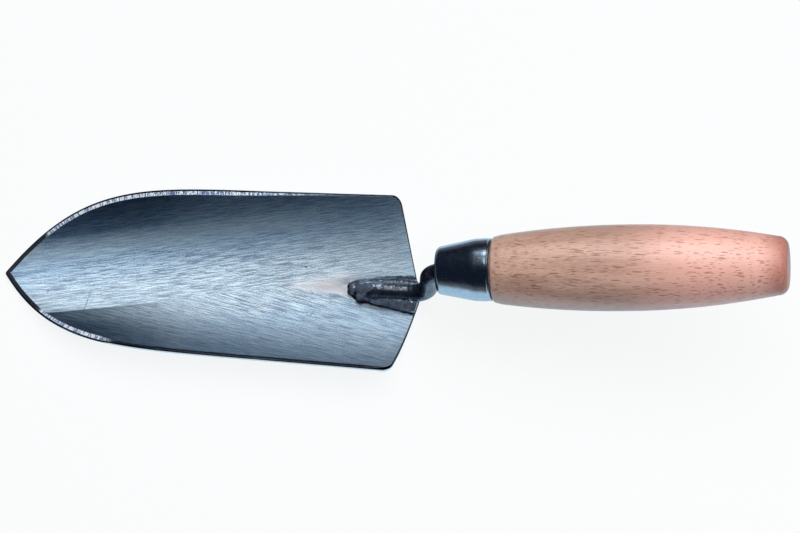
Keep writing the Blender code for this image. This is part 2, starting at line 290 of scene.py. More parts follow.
def new_piece(name, mesh, *finishes):
    """A finished piece at the origin, with its place in its mesh."""
    piece = bpy.data.objects.new(name, mesh)
    scene.collection.objects.link(piece)
    for finish in finishes:
        mesh.materials.append(finish)
    return piece


class Finish:
    """A material and short ways to add nodes to it."""

    def __init__(self, name):
        self.material = bpy.data.materials.new(name)
        self.material.use_nodes = True
        self.tree = self.material.node_tree
        self.shader = self.tree.nodes["Principled BSDF"]

    def feed(self, socket, value):
        """Links or sets one socket; a colour is given as three numbers."""
        if isinstance(value, bpy.types.NodeSocket):
            self.tree.links.new(value, socket)
        else:
            socket.default_value = (*value, 1.0) if socket.type == "RGBA" else value

    def add(self, kind, inputs=(), **settings):
        """A node with its settings, and its inputs set or linked by place or by name."""
        made = self.tree.nodes.new(kind)
        for name, value in settings.items():
            setattr(made, name, value)
        for key, value in dict(inputs).items():
            self.feed(made.inputs[key], value)
        return made

    def sum(self, operation, first, second=0.0, third=0.0):
        """A sum of numbers."""
        return self.add("ShaderNodeMath", {0: first, 1: second, 2: third}, operation=operation).outputs[0]

    def product(self, *factors):
        """Numbers multiplied together."""
        result = factors[0]
        for factor in factors[1:]:
            result = self.sum("MULTIPLY", result, factor)
        return result

    def scaled(self, value, factor, offset):
        """A number multiplied by a factor, with an offset added."""
        return self.sum("MULTIPLY_ADD", value, factor, offset)

    def share(self, value, start, stop):
        """0 where a number is at start, 1 where it is at stop, and an even curve between."""
        inputs = {"Value": value, "From Min": start, "From Max": stop}
        return self.add("ShaderNodeMapRange", inputs, interpolation_type="SMOOTHSTEP").outputs["Result"]

    def blend(self, share, first, second, mode="MIX"):
        """Two colours blended by a share."""
        inputs = {0: share, 6: first, 7: second}
        return self.add("ShaderNodeMix", inputs, data_type="RGBA", blend_type=mode).outputs[2]

    def either(self, share, low, high):
        """A number blended between two by a share."""
        return self.add("ShaderNodeMix", {0: share, 2: low, 3: high}, data_type="FLOAT").outputs[0]

    def vector(self, operation, first, second=(0.0, 0.0, 0.0)):
        """A sum of places; a length, a distance or a dot product comes back as a number."""
        made = self.add("ShaderNodeVectorMath", {0: first, 1: second}, operation=operation)
        return made.outputs["Value" if operation in ("LENGTH", "DISTANCE", "DOT_PRODUCT") else "Vector"]

    def numbers(self, place):
        """The numbers of a place along its three ways."""
        return self.add("ShaderNodeSeparateXYZ", {0: place}).outputs[0:3]

    def on_map(self, name):
        """Place on one of the mesh's own flat maps."""
        return self.add("ShaderNodeUVMap", uv_map=name).outputs[0]

    def on_piece(self):
        """Place in the piece's own space."""
        return self.add("ShaderNodeTexCoord").outputs["Object"]

    def mottle(self, place, scale, detail=3.0, roughness=0.5):
        """Noise from 0 to 1 over a place."""
        inputs = {"Vector": place, "Scale": scale, "Detail": detail, "Roughness": roughness}
        return self.add("ShaderNodeTexNoise", inputs).outputs["Fac"]

    def cells(self, place, scale=1.0, **settings):
        """What is known of the random cell that a place lies in."""
        return self.add("ShaderNodeTexVoronoi", {"Vector": place, "Scale": scale}, **settings).outputs

    def cell_number(self, cells):
        """A random number of each cell."""
        return self.add("ShaderNodeSeparateColor", {0: cells["Color"]}).outputs[0]

    def set(self, **values):
        """Sets or links the shader's sockets, with spaces written as underscores."""
        for name, value in values.items():
            self.feed(self.shader.inputs[name.replace("_", " ")], value)

    def bump(self, height, strength, distance):
        """Raises the surface by a height from 0 to 1."""
        made = self.add("ShaderNodeBump", {"Height": height, "Strength": strength, "Distance": distance})
        self.feed(self.shader.inputs["Normal"], made.outputs["Normal"])


STEEL_LIGHT = (0.76, 0.91, 1.0)
STEEL_DARK = (0.33, 0.44, 0.58)
# Painted shade: the upper side of the inside is darker and bluer.
STEEL_UPPER_PAINTED_SHADE = (0.70, 0.85, 1.0)
# Painted shade on the lower wall of the inside, towards the point.
STEEL_LOWER_WALL_PAINTED_SHADE = (0.29, 0.34, 0.41)
# Painted shade below the crease, away from the point.
STEEL_LOWER_SIDE_PAINTED_SHADE = (0.84, 0.89, 0.94)
# Painted light: a lighter band high on the upper wall towards the point, with its darker gaps.
STEEL_PAINTED_LIGHT = (0.69, 0.89, 1.0)
STEEL_PAINTED_LIGHT_GAPS = (0.38, 0.57, 0.84)
# Painted shade high on the upper wall near the point.
STEEL_POINT_SIDE_PAINTED_SHADE = (0.50, 0.56, 0.64)
# Colour of the bright scratches, and of the painted highlight along the weld's far toe.
SCRATCH_AND_TOE_HIGHLIGHT = (0.95, 0.97, 1.0)
HEAT_PALE = (1.0, 0.98, 1.0)
HEAT_TAN = (0.93, 0.90, 0.92)
HEAT_BLUE = (0.15, 0.22, 0.34)
PIT_DARK = (0.035, 0.040, 0.055)
STEEL_ROUGHNESS = 0.415
STROKE_LENGTH = 0.0070
STROKE_WIDTH = 0.00029
BAND_LENGTH = 0.0210
BAND_WIDTH = 0.0018
LINE_SHARE = 0.50
STROKE_CONTRAST = (0.38, 0.62)
GRAIN_SIZE = 0.00042
GRAIN_CONTRAST = (0.36, 0.64)
BAND_SHARE = 0.04
STROKE_SHARE = 0.62
GRAIN_SHARE = 0.34
TONE_CONTRAST = (0.31, 0.69)
GRIT_LENGTH = 0.0220
GRIT_WIDTH = 0.0011
GRIT_EDGE = (0.13, 0.08)
GRIT_SHINE = 0.85
SCRATCH_SPACING = 0.011
SCRATCH_EDGE = (0.012, 0.004)
SCRATCH_PLACES = (0.54, 0.68)
CREASE_WANDER = 0.0012
CREASE_EDGE = (-0.0002, 0.0002)
UPPER_PAINTED_SHADE = (0.006, 0.028)
TRIANGLE_LOWER_SLOPE = -0.075
TRIANGLE_LOWER_EDGE = (-0.0006, 0.0004)
TAN_START = (-0.0430, -0.0330)
WELD_HALO_FOOT = Vector((-0.0335, 0.0034))
WELD_HALO_SLOPE = 0.205
TOE_HIGHLIGHT_GAPS = (0.46, 0.54)
PIT_PLACE = (-0.0466, 0.0101, 0.0)
PIT_EDGE = (0.00042, 0.00028)
HAIRLINE_DEPTH = 0.60
HAIRLINES = (((-0.1317, -0.0052, 0.0), (-0.1325, -0.0101, 0.0), 0.00013),
             ((-0.1325, -0.0101, 0.0), (-0.1336, -0.0153, 0.0), 0.00024),
             ((-0.1486, -0.0066, 0.0), (-0.1488, -0.0086, 0.0), 0.00024),
             ((-0.0441, -0.0118, 0.0), (-0.0425, -0.0102, 0.0), 0.00024))
# Patches of the inside: the runs over which each sets in or ends, first across and then along the blank.
BEYOND_ROD = (((0.0, 0.0010),), ((-0.0300, -0.0285),))
LOWER_WALL_PAINTED_SHADE = (((-0.012, -0.026),), ((-0.078, -0.135),))
POINT_SIDE_PAINTED_SHADE = (((0.0292, 0.0355),), ((-0.0850, -0.1150),))
LOWER_SIDE_PAINTED_SHADE = (((-0.0080, -0.0140),), ((-0.1000, -0.0850),))
PAINTED_LIGHT_SIDE = (((0.0210, 0.0260), (0.0345, 0.0290)), ((-0.0300, -0.0600),))
HEATED = (((0.0004, -0.0006),), ((-0.0609, -0.0409), (-0.0270, -0.0310)))
BESIDE_CREASE = (((0.0045, 0.0010), (-0.0020, 0.0002)), ((-0.0620, -0.0450), (-0.0200, -0.0300)))
WELD_SMEAR = (((-0.0008, 0.0002), (0.0036, 0.0012)), ((-0.0355, -0.0290), (-0.0080, -0.0280)))
TOE_PAINTED_HIGHLIGHT = (((0.0004, 0.0006), (0.0011, 0.0009)), ((-0.0290, -0.0275), (-0.0100, -0.0130)))
# Strips along the heel: the run back from the heel and the run across the blank.
HEEL_PAINTED_LIGHT = ((0.0065, 0.0020), (0.0050, 0.0110))
HEEL_DARK = ((0.0050, 0.0035), (-0.0090, -0.0130))

steel = Finish("ground_steel")
place = steel.on_map("blank")
blank_x, blank_y, _ = steel.numbers(place)


def along_pass(angle, length, width):
    """Place on the blank, turned to a grinding pass and scaled to the size of its strokes."""
    turned = steel.add("ShaderNodeVectorRotate", {"Vector": place, "Angle": -angle}, rotation_type="Z_AXIS")
    return steel.vector("MULTIPLY", turned.outputs[0], (1.0 / length, 1.0 / width, 1.0))


def strokes(angle, length, width, detail):
    """Lines left by a grinding pass, some of them single and sharp."""
    drawn = along_pass(angle, length, width)
    streaks = steel.share(steel.mottle(drawn, 1.0, detail, 0.62), *STROKE_CONTRAST)
    line_tone = steel.cell_number(steel.cells(drawn, voronoi_dimensions="2D"))
    return steel.scaled(line_tone, LINE_SHARE, steel.product(streaks, 1.0 - LINE_SHARE))


def grit_lines(angle):
    """Single bright strokes of coarse grit, apart from each other."""
    away = steel.cells(along_pass(angle, GRIT_LENGTH, GRIT_WIDTH), voronoi_dimensions="2D")["Distance"]
    return steel.share(away, *GRIT_EDGE)


def over_line(foot, slope):
    """Distance of a place above a sloping line through its foot."""
    return steel.sum("ADD", blank_y, steel.scaled(blank_x, -slope, foot.x * slope - foot.y))


def near_line(start, end, width):
    """1 on the line between two places and 0 beside it."""
    way = Vector(end) - Vector(start)
    from_start = steel.vector("SUBTRACT", place, start)
    run = steel.vector("DOT_PRODUCT", from_start, way / way.length_squared)
    run = steel.add("ShaderNodeClamp", {0: run}).outputs[0]
    nearest = steel.add("ShaderNodeVectorMath", {0: way, "Scale": run}, operation="SCALE").outputs[0]
    return steel.share(steel.vector("DISTANCE", from_start, nearest), width, width / 2)


def patch(across, sides, ends):
    """1 on a patch of the inside and 0 past its sides and ends."""
    return steel.product(*[steel.share(across, *side) for side in sides],
                         *[steel.share(blank_x, *end) for end in ends])


wander = steel.sum("SUBTRACT", steel.mottle(place, 180.0, 2.0), 0.5)
over = steel.scaled(wander, CREASE_WANDER, over_line(CREASE_FOOT, math.tan(UPPER_STROKES)))
upper_pass = steel.sum("MAXIMUM", steel.share(over, *CREASE_EDGE), patch(blank_y, *BEYOND_ROD))


def on_both_passes(pattern, *sizes):
    """A pattern along the strokes of each pass, on its own side of the crease."""
    return steel.either(upper_pass, pattern(LOWER_STROKES, *sizes), pattern(UPPER_STROKES, *sizes))


fine = on_both_passes(strokes, STROKE_LENGTH, STROKE_WIDTH, 1.0)
band = on_both_passes(strokes, BAND_LENGTH, BAND_WIDTH, 2.0)
grain = steel.share(steel.mottle(place, 1.0 / GRAIN_SIZE, 2.0, 0.6), *GRAIN_CONTRAST)
texture = steel.scaled(band, BAND_SHARE, steel.product(fine, STROKE_SHARE))
texture = steel.scaled(grain, GRAIN_SHARE, texture)
tone = steel.share(texture, *TONE_CONTRAST)
grit_marks = steel.product(on_both_passes(grit_lines), GRIT_SHINE)
ground_colour = steel.blend(grit_marks, steel.blend(tone, STEEL_DARK, STEEL_LIGHT), SCRATCH_AND_TOE_HIGHLIGHT)
# Painted shade: the inside is darkened on its upper side, on its lower wall towards the point, high on its
# upper wall near the point, and below the crease away from the point.
for part, colour in ((steel.share(over, *UPPER_PAINTED_SHADE), STEEL_UPPER_PAINTED_SHADE),
                     (patch(blank_y, *LOWER_WALL_PAINTED_SHADE), STEEL_LOWER_WALL_PAINTED_SHADE),
                     (patch(over, *POINT_SIDE_PAINTED_SHADE), STEEL_POINT_SIDE_PAINTED_SHADE),
                     (patch(over, *LOWER_SIDE_PAINTED_SHADE), STEEL_LOWER_SIDE_PAINTED_SHADE)):
    ground_colour = steel.blend(part, ground_colour, colour, "MULTIPLY")

painted_light_colour = steel.blend(tone, STEEL_PAINTED_LIGHT_GAPS, STEEL_PAINTED_LIGHT)
from_heel = steel.scaled(steel.sum("ABSOLUTE", blank_y), -math.tan(HEEL_SLOPE), steel.product(blank_x, -1.0))
# A strip of painted light along the heel, and a darker strip beside it.
heel_painted_light, heel_dark = [steel.product(steel.share(from_heel, *back), steel.share(blank_y, *across))
                         for back, across in (HEEL_PAINTED_LIGHT, HEEL_DARK)]
scratch_cells = steel.cells(place, 1.0 / SCRATCH_SPACING, voronoi_dimensions="2D", feature="DISTANCE_TO_EDGE")
scratches = steel.product(steel.share(scratch_cells["Distance"], *SCRATCH_EDGE),
                          steel.share(steel.mottle(place, 260.0), *SCRATCH_PLACES))
# Painted light on the upper wall and along the heel, then a darker heel strip and bright scratches.
for part, strength, colour in ((patch(over, *PAINTED_LIGHT_SIDE), 0.85, painted_light_colour), (heel_painted_light, 0.55, painted_light_colour),
                               (heel_dark, 0.30, STEEL_DARK), (scratches, 0.30, SCRATCH_AND_TOE_HIGHLIGHT)):
    ground_colour = steel.blend(steel.product(part, strength), ground_colour, colour)

over_triangle_foot = over_line(CREASE_FOOT, TRIANGLE_LOWER_SLOPE)
heated = steel.product(patch(over, *HEATED), steel.share(over_triangle_foot, *TRIANGLE_LOWER_EDGE))
heated = steel.sum("MAXIMUM", heated, steel.product(patch(over, *BESIDE_CREASE), 0.60))
heated = steel.product(heated, steel.scaled(tone, 0.25, 0.75))
heat_colour = steel.blend(steel.share(blank_x, *TAN_START), HEAT_PALE, HEAT_TAN)
over_weld = over_line(WELD_HALO_FOOT, WELD_HALO_SLOPE)
smear = steel.product(patch(over_weld, *WELD_SMEAR), steel.scaled(band, 0.5, 0.2))
toe_highlight_gaps = steel.share(steel.mottle(place, 900.0, 2.0), *TOE_HIGHLIGHT_GAPS)
marked = steel.blend(heated, ground_colour, heat_colour)
marked = steel.blend(smear, marked, HEAT_BLUE)
# Painted highlight: a broken bright line on the steel along the weld's far toe.
marked = steel.blend(steel.product(patch(over_weld, *TOE_PAINTED_HIGHLIGHT), toe_highlight_gaps), marked, SCRATCH_AND_TOE_HIGHLIGHT)
for hairline in HAIRLINES:
    marked = steel.blend(steel.product(near_line(*hairline), HAIRLINE_DEPTH), marked, HEAT_BLUE)
from_pit = steel.vector("DISTANCE", place, PIT_PLACE)
steel.set(Base_Color=steel.blend(steel.share(from_pit, *PIT_EDGE), marked, PIT_DARK), Metallic=1.0,
          Anisotropic=1.0, Roughness=steel.scaled(tone, -0.08, STEEL_ROUGHNESS))
stroke_turns = [0.25 + angle / math.tau for angle in (LOWER_STROKES, UPPER_STROKES)]
tangent = steel.add("ShaderNodeTangent", direction_type="UV_MAP", uv_map="blank").outputs[0]
steel.set(Anisotropic_Rotation=steel.either(upper_pass, *stroke_turns), Tangent=tangent)
steel.bump(texture, strength=0.30, distance=0.00006)

EDGE_BRIGHT = (0.86, 0.95, 1.0)
EDGE_GAP = (0.18, 0.26, 0.46)
EDGE_BLACK = (0.012, 0.014, 0.020)
EDGE_SPECK = (0.18, 0.23, 0.30)
EDGE_SPECK_CONTRAST = (0.58, 0.74)
EDGE_OUTLINE = (1.22, 1.10)
CROSS_MARK = 0.00066
CROSS_MARK_CONTRAST = (0.44, 0.55)
# Painted shade: the edge is black, with specks, near the point and on the near side past the bevel's end.
DARK_EDGE_END = (0.0220, 0.0250)
DARK_EDGE_WANDER = 0.006
DARK_EDGE_NEAR_START = (-0.1270, -0.1190)
NEAR_HALF = (0.001, -0.001)
COARSE_EDGE = (0.080, 0.058)
ROUGH_EDGE = (0.090, 0.040)

honed = Finish("sharpened_edge")
edge_place = honed.on_map("edge")
edge_run, edge_rise, _ = honed.numbers(edge_place)
edge_x, edge_y, _ = honed.numbers(honed.on_map("blank"))
marks_place = honed.vector("MULTIPLY", edge_place, (1.0 / CROSS_MARK, 0.45, 1.0))
marks = honed.mottle(marks_place, 1.0, 2.0, 0.6)
patches = honed.mottle(edge_place, 150.0, 2.0)
dark_edge_run = honed.sum("SUBTRACT", edge_run, DARK_EDGE_WANDER / 2)
dark_edge_run = honed.scaled(patches, DARK_EDGE_WANDER, dark_edge_run)
past_near_end = honed.product(honed.share(edge_y, *NEAR_HALF), honed.share(edge_x, *DARK_EDGE_NEAR_START))
# Painted shade: black near the point and on the near side past the bevel's end.
painted_dark_edge = honed.sum("SUBTRACT", 1.0, honed.share(dark_edge_run, *DARK_EDGE_END))
painted_dark_edge = honed.sum("MAXIMUM", past_near_end, painted_dark_edge)
specks = honed.share(honed.mottle(edge_place, 1500.0, 2.0), *EDGE_SPECK_CONTRAST)
cross_ground = honed.blend(honed.share(marks, *CROSS_MARK_CONTRAST), EDGE_GAP, EDGE_BRIGHT)
edge_colour = honed.blend(painted_dark_edge, cross_ground, honed.blend(specks, EDGE_BLACK, EDGE_SPECK))
edge_colour = honed.blend(honed.share(edge_rise, *EDGE_OUTLINE), edge_colour, EDGE_BLACK)
edge_tangent = honed.add("ShaderNodeTangent", direction_type="UV_MAP", uv_map="edge").outputs[0]
honed.set(Base_Color=edge_colour, Anisotropic=1.0, Tangent=edge_tangent,
          Metallic=honed.scaled(honed.share(edge_run, *COARSE_EDGE), -0.42, 1.0),
          Roughness=honed.scaled(honed.share(edge_run, *ROUGH_EDGE), 0.11, 0.22))
honed.bump(marks, strength=0.5, distance=0.00010)

TORN_DARK = (0.018, 0.020, 0.028)
TORN_LIGHT = (0.055, 0.065, 0.085)
BURNISHED_START = (0.47, 0.55)

sheared = Finish("sheared_edge")
shear_marks = sheared.mottle(sheared.on_piece(), 1400.0)
down_wall = sheared.numbers(sheared.on_map("edge"))[1]
torn = sheared.blend(sheared.share(shear_marks, 0.35, 0.75), TORN_DARK, TORN_LIGHT)
burnished = sheared.share(sheared.scaled(shear_marks, 0.14, down_wall), *BURNISHED_START)
sheared.set(Base_Color=sheared.blend(burnished, torn, EDGE_BRIGHT), Metallic=1.0, Roughness=0.18)
sheared.bump(shear_marks, strength=0.3, distance=0.00008)

blade_mesh = finished_mesh("ground_blade", blank)
blade_piece = new_piece("ground_blade", blade_mesh, steel.material, honed.material, sheared.material)
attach(blade_piece, "root")
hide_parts("blade")

# Rod
# One bar of dark forged steel, bent hot and lacquered. Its foot lies on the blade, its neck rises
# behind the heel into the ferrule, and its tapered end is driven into the handle.

SEAT_GAP = 0.0003
ROD_RADIUS = 0.00375
FOOT_LENGTH = 0.0265
FOOT_NOSE_LENGTH = 0.008
FOOT_NOSE_RADIUS = 0.0014
NOSE_TAPER = ((0.40, 0.70), (0.75, 0.93))
LOWER_BEND_RADIUS = 0.0075
LEG_CLEARANCE = 0.0007
TANG_DEPTH = 0.062
TANG_TAPER_LENGTH = 0.045
TANG_POINT_RADIUS = 0.0013
HANDLE_RISE = math.radians(10.4)
HANDLE_LINE_HEIGHT = 0.0285
FERRULE_FRONT = 0.0058
FERRULE_MOUTH_RADIUS = 0.0086
FERRULE_WALL = 0.0010
ROD_DROP_IN_MOUTH = 0.42
UPPER_BEND_IN_MOUTH = 0.92
ROD_SIDES = 40
BEND_STEPS = 18
COLLAR_RISE = 0.00024
COLLAR_HALF_LENGTH = 0.00055
COLLAR_SETBACK = 0.0002
COLLAR_STEPS = 3

handle_way = Vector((math.cos(HANDLE_RISE), 0.0, math.sin(HANDLE_RISE)))
under_handle = Vector((math.sin(HANDLE_RISE), 0.0, -math.cos(HANDLE_RISE)))


def handle_point(along):
    """A place on the handle's centre line."""
    return heel + Vector((0.0, 0.0, HANDLE_LINE_HEIGHT)) + handle_way * along


def rounded_corner(before, corner, after, radius, steps):
    """Points of the arc that rounds a corner between two straight runs."""
    inwards = (corner - before).normalized()
    outwards = (after - corner).normalized()
    turn = inwards.angle(outwards)
    start = corner - inwards * radius * math.tan(turn / 2)
    across = (outwards - inwards * inwards.dot(outwards)).normalized()
    angles = [turn * step / steps for step in range(steps + 1)]
    return [start + across * radius * (1.0 - math.cos(angle)) + inwards * radius * math.sin(angle)
            for angle in angles]


mouth_bore = FERRULE_MOUTH_RADIUS - FERRULE_WALL
drop = under_handle * (mouth_bore - ROD_RADIUS) * ROD_DROP_IN_MOUTH
entry = handle_point(0.0) + drop
lower_lip = handle_point(FERRULE_FRONT) + under_handle * FERRULE_MOUTH_RADIUS
leg_x = lower_lip.x - ROD_RADIUS - LEG_CLEARANCE
foot_height = SHEET + SEAT_GAP + ROD_RADIUS
nose = heel + Vector((-FOOT_LENGTH, 0.0, SHEET + SEAT_GAP + FOOT_NOSE_RADIUS))
foot = heel + Vector((-FOOT_LENGTH + FOOT_NOSE_LENGTH, 0.0, foot_height))
lower_corner = Vector((leg_x, 0.0, foot_height))
upper_corner = Vector((leg_x, 0.0, entry.z + (leg_x - entry.x) * math.tan(HANDLE_RISE)))
tang_end = handle_point(FERRULE_FRONT + TANG_DEPTH) + drop
taper_start = tang_end - handle_way * TANG_TAPER_LENGTH
lower_bend = rounded_corner(foot, lower_corner, upper_corner, LOWER_BEND_RADIUS, BEND_STEPS)
upper_bend_radius = mouth_bore * UPPER_BEND_IN_MOUTH
upper_bend = rounded_corner(lower_corner, upper_corner, tang_end, upper_bend_radius, BEND_STEPS)
collar_place = lower_bend[0] - Vector((COLLAR_SETBACK, 0.0, 0.0))
collar = []
for step in range(-COLLAR_STEPS, COLLAR_STEPS + 1):
    ahead = Vector((COLLAR_HALF_LENGTH * step / COLLAR_STEPS, 0.0, 0.0))
    swell = COLLAR_RISE * math.cos(math.pi / 2 * step / COLLAR_STEPS) ** 2
    collar.append((collar_place + ahead, ROD_RADIUS + swell))
route = [(nose, FOOT_NOSE_RADIUS)]
route += [(nose.lerp(foot, share), ROD_RADIUS * thickness) for share, thickness in NOSE_TAPER]
route += [(foot, ROD_RADIUS)] + collar
route += [(point, ROD_RADIUS) for point in lower_bend[2:] + upper_bend]
route += [(taper_start, ROD_RADIUS), (tang_end, TANG_POINT_RADIUS)]


def section_at(point, way, radius):
    """Placing of a round section of a bar that lies in the X-Z plane."""
    side = Vector((0.0, 1.0, 0.0))
    turned = Matrix((side * radius, way.cross(side) * radius, way * radius)).transposed().to_4x4()
    return Matrix.Translation(point) @ turned


def ways_along(points):
    """Direction of a route at each of its points."""
    ahead = points[1:] + points[-1:]
    behind = points[:1] + points[:-1]
    return [(after - before).normalized() for before, after in zip(behind, ahead)]


bar = bmesh.new()
bmesh.ops.create_circle(bar, cap_ends=True, segments=ROD_SIDES, radius=1.0)
ways = ways_along([point for point, radius in route])
sections = [section_at(point, way, radius) for (point, radius), way in zip(route, ways)]
bmesh.ops.transform(bar, matrix=sections[0], verts=bar.verts[:])
ring = bar.edges[:]
for previous, following in zip(sections, sections[1:]):
    drawn = bmesh.ops.extrude_edge_only(bar, edges=ring)["geom"]
    ring_verts = of_kind(drawn, bmesh.types.BMVert)
    bmesh.ops.transform(bar, matrix=following @ previous.inverted(), verts=ring_verts)
    ring = [edge for edge in of_kind(drawn, bmesh.types.BMEdge) if set(edge.verts) <= set(ring_verts)]
bmesh.ops.holes_fill(bar, edges=ring, sides=ROD_SIDES)
bmesh.ops.recalc_face_normals(bar, faces=bar.faces[:])


def round_mesh(name, shape, sharp_angle=40.0):
    """A mesh made of a shape and shaded round, with its sharp edges kept."""
    mesh = finished_mesh(name, shape)
    mesh.shade_smooth()
    mesh.set_sharp_from_angle(angle=math.radians(sharp_angle))
    return mesh


ROD_DARK = (0.050, 0.066, 0.098)
ROD_LIGHT = (0.115, 0.145, 0.20)
# Painted highlight on the top of the rod's foot, broken by gaps.
ROD_PAINTED_HIGHLIGHT = (0.52, 0.58, 0.65)
ROD_HIGHLIGHT_ENDS = ((-0.0205, -0.0150), (-0.0050, -0.0068))
ROD_HIGHLIGHT_SIDES = ((0.0019, 0.0011), (-0.0014, -0.0006))
ROD_HIGHLIGHT_GAPS = (0.34, 0.60)

forged = Finish("lacquered_black_steel")
rod_place = forged.on_piece()
rod_x, rod_y, _ = forged.numbers(rod_place)
hammered = forged.mottle(rod_place, 260.0)
grit = forged.mottle(rod_place, 1500.0, 2.0)
# Painted highlight on the top of the foot.
painted_highlight = forged.share(forged.mottle(rod_place, 620.0, 3.0, 0.6), *ROD_HIGHLIGHT_GAPS)
for start, stop in ROD_HIGHLIGHT_ENDS:
    painted_highlight = forged.product(painted_highlight, forged.share(rod_x, heel.x + start, heel.x + stop))
for side in ROD_HIGHLIGHT_SIDES:
    painted_highlight = forged.product(painted_highlight, forged.share(rod_y, *side))
rod_colour = forged.blend(forged.share(hammered, 0.30, 0.70), ROD_DARK, ROD_LIGHT)
forged.set(Base_Color=forged.blend(painted_highlight, rod_colour, ROD_PAINTED_HIGHLIGHT), Metallic=0.90, Coat_Weight=0.45,
           Coat_IOR=1.5, Coat_Roughness=0.16, Roughness=forged.scaled(grit, 0.14, 0.20))
forged.bump(forged.scaled(grit, 0.15, hammered), strength=0.55, distance=0.00045)

rod_piece = new_piece("swan_neck_rod", round_mesh("swan_neck_rod", bar), forged.material)
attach(rod_piece, "root")
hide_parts("tang")

# Weld
# Two runs of weld metal, one each side of the rod's foot, that join round its nose.
# They are laid by hand and left as laid, dark and lumpy, fused to the sheet and the rod.

WELD_VOXEL = 0.00024
# Each run is a row of (x, y, rise, size) in millimetres, measured from the heel.
FAR_RUN = ((-27.7, 3.0, 2.1, 2.0), (-25.5, 3.7, 2.0, 2.3),
           (-17.5, 4.7, 2.3, 2.8), (-10.0, 5.6, 2.5, 3.1),
           (-1.0, 5.8, 2.6, 3.1))
FAR_FILL = ((-24.0, 2.4, 4.2, 2.7), (-16.0, 3.0, 5.2, 3.0),
            (-8.0, 3.4, 4.8, 3.0), (-1.0, 3.4, 4.0, 2.8))
NEAR_RUN = ((-26.4, -0.2, 1.9, 1.9), (-24.4, -1.4, 2.1, 2.3),
            (-19.5, -2.0, 2.4, 2.6), (-12.0, -3.2, 2.7, 2.9),
            (-1.0, -4.6, 2.9, 3.6))
NEAR_FILL = ((-24.0, -0.4, 3.6, 2.6), (-16.0, -2.4, 4.6, 2.9),
             (-8.0, -3.1, 4.4, 3.0), (-1.0, -3.4, 4.0, 2.8))
NOSE_FILL = ((-27.6, 0.8, 2.4, 2.0), (-25.5, 1.4, 4.0, 2.6),
             (-22.5, 0.2, 5.8, 3.0), (-19.0, 0.2, 7.4, 2.8),
             (-16.0, 0.8, 8.2, 2.2), (-14.0, 1.0, 8.8, 1.4))
FAR_LUMP = ((-27.4, 1.0, 4.9, 1.6), (-26.4, 1.0, 5.3, 1.6))
NEAR_LUMP = ((-24.4, -2.4, 4.9, 1.7), (-23.4, -2.5, 5.2, 1.7))
BLOB_SPACING = 0.00125
BLOB_FLATNESS = 0.86
HAND_PITCH = 900.0
HAND_SWAY = 0.00045
HAND_RISE = 0.00050
HAND_SWELL = 0.12
SMOOTHINGS = 4
SKIN_DEPTH = 0.00008
TOE_DEPTH = 0.0006
HEEL_SETBACK = 0.0003

weld = bmesh.new()
for run_number, run in enumerate((FAR_RUN, FAR_FILL, NEAR_RUN, NEAR_FILL, NOSE_FILL, FAR_LUMP, NEAR_LUMP)):
    for first, last in zip(run, run[1:]):
        count = max(2, round((last[0] - first[0]) / 1000.0 / BLOB_SPACING))
        for step in range(count):
            share = step / count
            x, y, rise, size = [(start + (stop - start) * share) / 1000.0 for start, stop in zip(first, last)]
            spot = Vector((x, y, rise))
            key = Vector((spot.x * HAND_PITCH, run_number * 7.3, 1.7))
            spot.y += HAND_SWAY * noise(key)
            spot.z += HAND_RISE * noise(key + Vector((0.0, 3.1, 0.0)))
            size *= 1.0 + HAND_SWELL * noise(key + Vector((0.0, 0.0, 5.2)))
            blob = bmesh.ops.create_icosphere(weld, subdivisions=3, radius=size)["verts"]
            bmesh.ops.scale(weld, vec=(1.0, 1.0, BLOB_FLATNESS), verts=blob)
            bmesh.ops.translate(weld, vec=heel + spot, verts=blob)
weld_piece = new_piece("weld_runs", finished_mesh("laid_runs", weld))
fused = weld_piece.modifiers.new("fused", "REMESH")
fused.mode = "VOXEL"
fused.voxel_size = WELD_VOXEL
weld_mesh = bpy.data.meshes.new_from_object(weld_piece.evaluated_get(bpy.context.evaluated_depsgraph_get()))
weld_piece.modifiers.clear()
weld_piece.data = weld_mesh
weld_mesh.name = "weld_runs"

smoothed = bmesh.new()
smoothed.from_mesh(weld_mesh)
for _ in range(SMOOTHINGS):
    bmesh.ops.smooth_vert(smoothed, verts=smoothed.verts[:], factor=0.5, use_axis_x=True, use_axis_y=True,
                          use_axis_z=True)
above_sheet = smoothed.verts.layers.float.new("above_sheet")
for vert in smoothed.verts:
    trough = trough_radius(vert.co.x - heel.x)
    axis_height = SHEET + trough
    outwards = Vector((0.0, vert.co.y, vert.co.z - axis_height))
    vert[above_sheet] = trough - outwards.length
    if outwards.length > trough + TOE_DEPTH:
        outwards *= (trough + TOE_DEPTH) / outwards.length
        vert.co = Vector((vert.co.x, outwards.y, outwards.z + axis_height))
    run_end = heel.x - HEEL_SETBACK - abs(vert.co.y) * math.tan(HEEL_SLOPE)
    vert.co.x = min(vert.co.x, run_end)
    vert.co += vert.normal * SKIN_DEPTH * fractal(vert.co * HAND_PITCH, 0.6, 2.0, 3)
smoothed.to_mesh(weld_mesh)
smoothed.free()
weld_mesh.shade_smooth()

WELD_DARK = (0.23, 0.29, 0.39)
WELD_LIGHT = (0.35, 0.43, 0.55)
# Painted shade, near black, at the foot of the runs and over the far side.
WELD_PAINTED_SHADE = (0.010, 0.012, 0.018)
PAINTED_SHADE_RISE = (0.00180, 0.00100)
PAINTED_SHADE_SIDE = (0.0030, 0.0052)
SIDE_SHARE = 0.70

